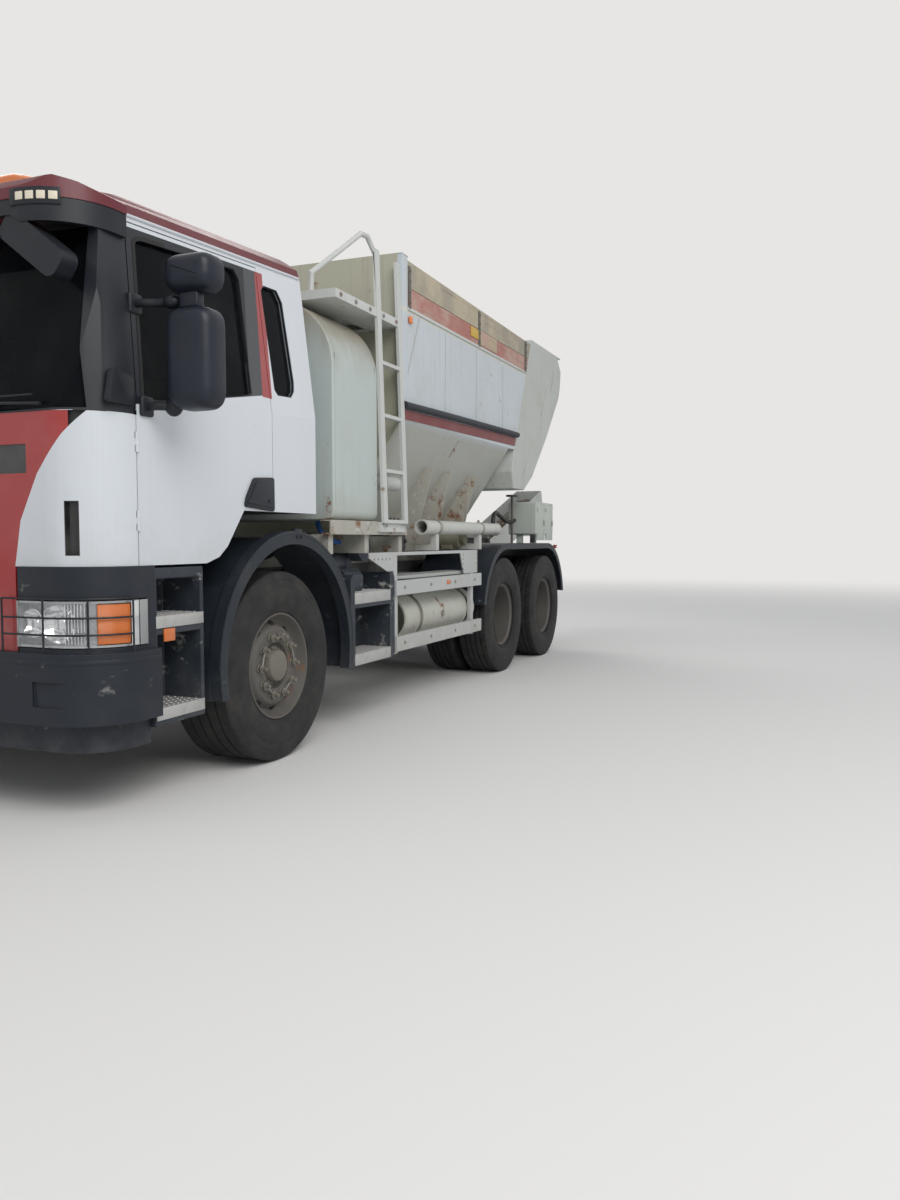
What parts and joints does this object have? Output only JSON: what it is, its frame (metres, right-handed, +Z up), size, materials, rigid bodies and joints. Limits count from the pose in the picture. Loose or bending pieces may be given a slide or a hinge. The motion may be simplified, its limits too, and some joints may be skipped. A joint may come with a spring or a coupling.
{
  "type": "volumetric concrete mixer truck",
  "caption": "Cab-over lorry that carries a water tank, an open aggregate hopper over a belt, a cement bin and a slewing mixing auger at the tail",
  "frame": {"origin": "middle of the truck's bounding box, on the ground under the tyres", "axes": "+Z up; X along the truck with the cab at -X and the auger at +X; the truck's left side at -Y"},
  "size_m": [10.1476, 3.15, 3.266],
  "materials": {
    "frame_paint": "satin dark grey chassis paint under road dirt",
    "engine_iron": "oily grey paint",
    "axle_iron": "black paint with dried mud",
    "cab_white": "glossy white cab paint, light grime low down",
    "cab_red": "glossy dark red paint",
    "panel_red": "glossy red front panel",
    "black_plastic": "moulded grained plastic, scuffed",
    "window_glass": "clear tinted glass",
    "lamp_lens": "clear polycarbonate over chrome reflectors",
    "amber_lens": "amber polycarbonate",
    "red_lens": "red polycarbonate and black bar",
    "step_plastic": "black housing with grey treads",
    "seat_cloth": "dark woven cloth",
    "dash_plastic": "soft grained plastic",
    "guard_alloy": "light grey painted extrusion",
    "tank_paint": "pale greenish white paint, rust runs",
    "mixer_paint": "pale weathered paint with rust and cement dust",
    "subframe_paint": "beige paint, rusty edges",
    "board_wood": "weathered plywood boards, faded red below",
    "belt_rubber": "dusty black belt",
    "pipe_paint": "light grey dusty steel pipe",
    "pump_metal": "blue black pump casing",
    "tyre_rubber": "dusty black tread rubber",
    "rim_paint": "grey-brown dirty wheel steel",
    "auger_paint": "pale paint caked with cement",
    "screw_steel": "worn bright edges, cement film",
    "cylinder_paint": "black hydraulic barrel",
    "rod_chrome": "polished chrome rod"
  },
  "bodies": {
    "chassis": {"chassis_frame": "frame_paint", "slew_bracket": "frame_paint", "engine_block": "engine_iron", "drive_line": "axle_iron", "front_axle": "axle_iron", "rear_axles": "axle_iron", "cab_shell": "cab_white", "cab_roof": "cab_red", "sun_visor": "black_plastic", "cab_glass": "window_glass", "front_grille": "panel_red", "corner_panels": "cab_white", "front_bumper": "black_plastic", "headlamps": "lamp_lens", "entry_steps": "step_plastic", "front_fenders": "black_plastic", "beacon_bar": "amber_lens", "seats": "seat_cloth", "dashboard": "dash_plastic", "battery_box": "step_plastic", "fuel_tank": "guard_alloy", "side_guards": "guard_alloy", "air_tank": "pipe_paint", "rear_fenders": "black_plastic", "tail_lamps": "red_lens", "water_tank": "tank_paint", "mixer_subframe": "subframe_paint", "ladder_platform": "mixer_paint", "aggregate_hopper": "mixer_paint", "side_boards": "board_wood", "conveyor_belt": "belt_rubber", "cement_bin": "mixer_paint", "control_box": "mixer_paint", "stowed_pipe": "pipe_paint", "water_pump": "pump_metal"},
    "door_left": {"door_left": "cab_white", "door_glass_left": "window_glass", "mirror_left": "black_plastic"},
    "knuckle_left": {"knuckle_left": "axle_iron"},
    "wheel_front_left": {"tyre_front_left": "tyre_rubber", "rim_front_left": "rim_paint"},
    "wheels_mid_left": {"tyres_mid_left": "tyre_rubber", "rims_mid_left": "rim_paint"},
    "wheels_rear_left": {"tyres_rear_left": "tyre_rubber", "rims_rear_left": "rim_paint"},
    "door_right": {"door_right": "cab_white", "door_glass_right": "window_glass", "mirror_right": "black_plastic"},
    "knuckle_right": {"knuckle_right": "axle_iron"},
    "wheel_front_right": {"tyre_front_right": "tyre_rubber", "rim_front_right": "rim_paint"},
    "wheels_mid_right": {"tyres_mid_right": "tyre_rubber", "rims_mid_right": "rim_paint"},
    "wheels_rear_right": {"tyres_rear_right": "tyre_rubber", "rims_rear_right": "rim_paint"},
    "slew_frame": {"slew_frame": "auger_paint"},
    "auger_trough": {"auger_trough": "auger_paint"},
    "mixing_screw": {"mixing_screw": "screw_steel"},
    "lift_cylinder": {"lift_cylinder": "cylinder_paint"},
    "lift_rod": {"lift_rod": "rod_chrome"}
  },
  "joints": [
    {"name": "steer_left", "type": "hinge", "parent": "chassis", "child": "knuckle_left", "pos_m": [-3.61381, -0.93, 0.536], "axis": [0, 0, 1], "range_deg": [-35, 35]},
    {"name": "wheel_front_left_spin", "type": "hinge", "parent": "knuckle_left", "child": "wheel_front_left", "pos_m": [-3.61381, -1.0425, 0.536], "axis": [0, 1, 0], "continuous": true},
    {"name": "wheels_mid_left_spin", "type": "hinge", "parent": "chassis", "child": "wheels_mid_left", "pos_m": [0.28619, -1.085, 0.538], "axis": [0, 1, 0], "continuous": true},
    {"name": "wheels_rear_left_spin", "type": "hinge", "parent": "chassis", "child": "wheels_rear_left", "pos_m": [1.63619, -1.085, 0.538], "axis": [0, 1, 0], "continuous": true},
    {"name": "door_left_hinge", "type": "hinge", "parent": "chassis", "child": "door_left", "pos_m": [-4.76381, -1.212, 1.6], "axis": [0, 0, -1], "range_deg": [0, 70]},
    {"name": "steer_right", "type": "hinge", "parent": "chassis", "child": "knuckle_right", "pos_m": [-3.61381, 0.93, 0.536], "axis": [0, 0, 1], "range_deg": [-35, 35]},
    {"name": "wheel_front_right_spin", "type": "hinge", "parent": "knuckle_right", "child": "wheel_front_right", "pos_m": [-3.61381, 1.0425, 0.536], "axis": [0, 1, 0], "continuous": true},
    {"name": "wheels_mid_right_spin", "type": "hinge", "parent": "chassis", "child": "wheels_mid_right", "pos_m": [0.28619, 1.085, 0.538], "axis": [0, 1, 0], "continuous": true},
    {"name": "wheels_rear_right_spin", "type": "hinge", "parent": "chassis", "child": "wheels_rear_right", "pos_m": [1.63619, 1.085, 0.538], "axis": [0, 1, 0], "continuous": true},
    {"name": "door_right_hinge", "type": "hinge", "parent": "chassis", "child": "door_right", "pos_m": [-4.76381, 1.212, 1.6], "axis": [0, 0, 1], "range_deg": [0, 70]},
    {"name": "auger_slew", "type": "hinge", "parent": "chassis", "child": "slew_frame", "pos_m": [2.53619, 0, 0.56], "axis": [0, 0, 1], "range_deg": [-80, 80]},
    {"name": "auger_lift", "type": "hinge", "parent": "slew_frame", "child": "auger_trough", "pos_m": [2.53619, 0, 0.94], "axis": [0, -1, 0], "range_deg": [-13, 15]},
    {"name": "screw_spin", "type": "hinge", "parent": "auger_trough", "child": "mixing_screw", "pos_m": [2.53619, 0, 0.94], "axis": [0.9511, 0, 0.309], "continuous": true},
    {"name": "cylinder_swing", "type": "hinge", "parent": "slew_frame", "child": "lift_cylinder", "pos_m": [2.79619, 0, 0.6], "axis": [0, -1, 0], "range_deg": [-20, 22]},
    {"name": "rod_slide", "type": "slide", "parent": "lift_cylinder", "child": "lift_rod", "axis": [0.8936, 0, 0.4489], "range_m": [-0.16, 0.18]}
  ],
  "couplings": [
    {"joint": "steer_right", "follows": "steer_left", "ratio": 1},
    {"joint": "cylinder_swing", "follows": "auger_lift", "ratio": 1.07},
    {"joint": "rod_slide", "follows": "auger_lift", "m_per_rad": 0.422}
  ]
}
